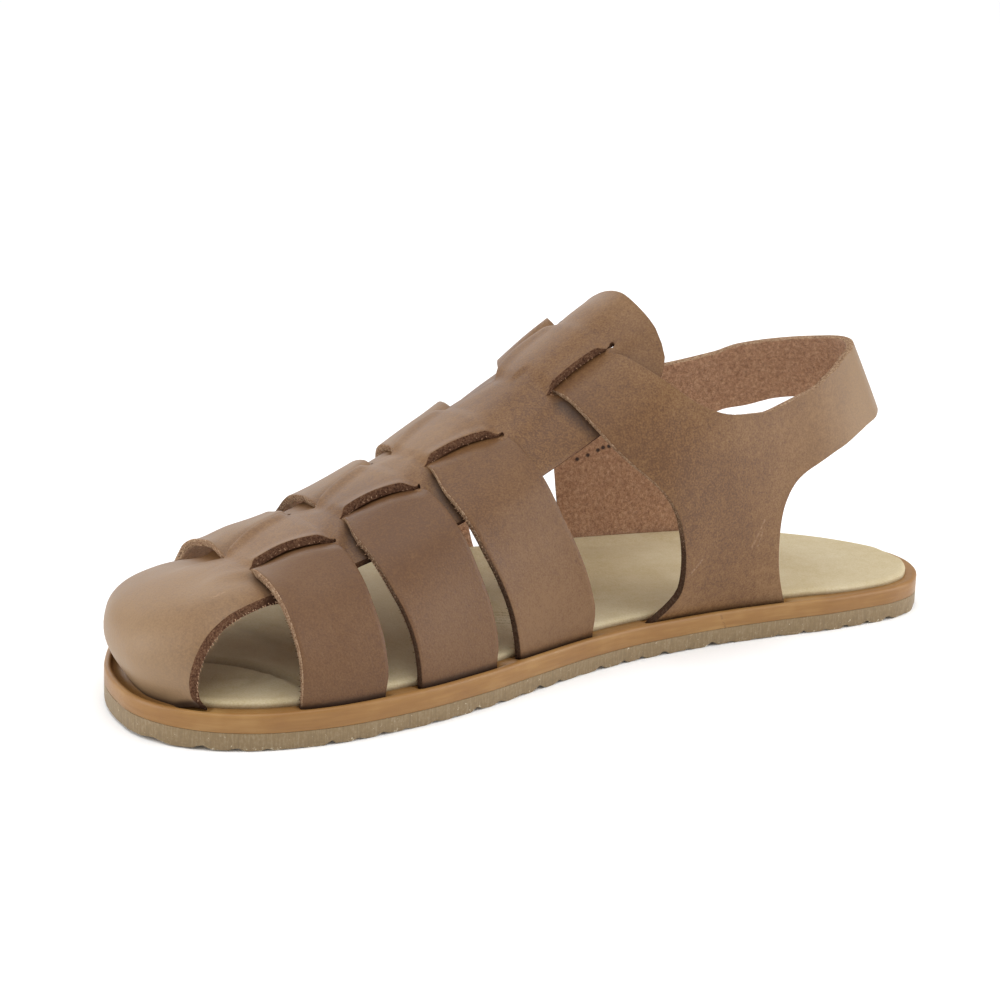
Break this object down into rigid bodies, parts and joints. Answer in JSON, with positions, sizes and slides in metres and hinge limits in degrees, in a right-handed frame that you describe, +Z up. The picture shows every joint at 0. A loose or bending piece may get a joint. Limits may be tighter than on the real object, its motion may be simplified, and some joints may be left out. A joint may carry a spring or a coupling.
{
  "type": "barefoot sandal",
  "caption": "Child's closed-toe leather sandal for the right foot, with woven cross straps, a heel sling and a thin flat rippled rubber sole.",
  "frame": {"origin": "on the floor under the middle of the sole's length and width", "axes": "+X to the toe, +Y to the wearer's left, which is the inner side of this right shoe, +Z up"},
  "size_m": [0.1836, 0.0756, 0.0686],
  "materials": {
    "rubber": "matt translucent grey-brown rubber",
    "welt_leather": "smooth tan edge, satin",
    "sock_leather": "cream lining leather, matt, softly wrinkled",
    "brown_leather": "oiled brown leather with a short nap and raw cut edges"
  },
  "bodies": {
    "root": {"outsole": "rubber", "midsole": "welt_leather", "insole": "sock_leather", "upper": "brown_leather"}
  },
  "joints": []
}
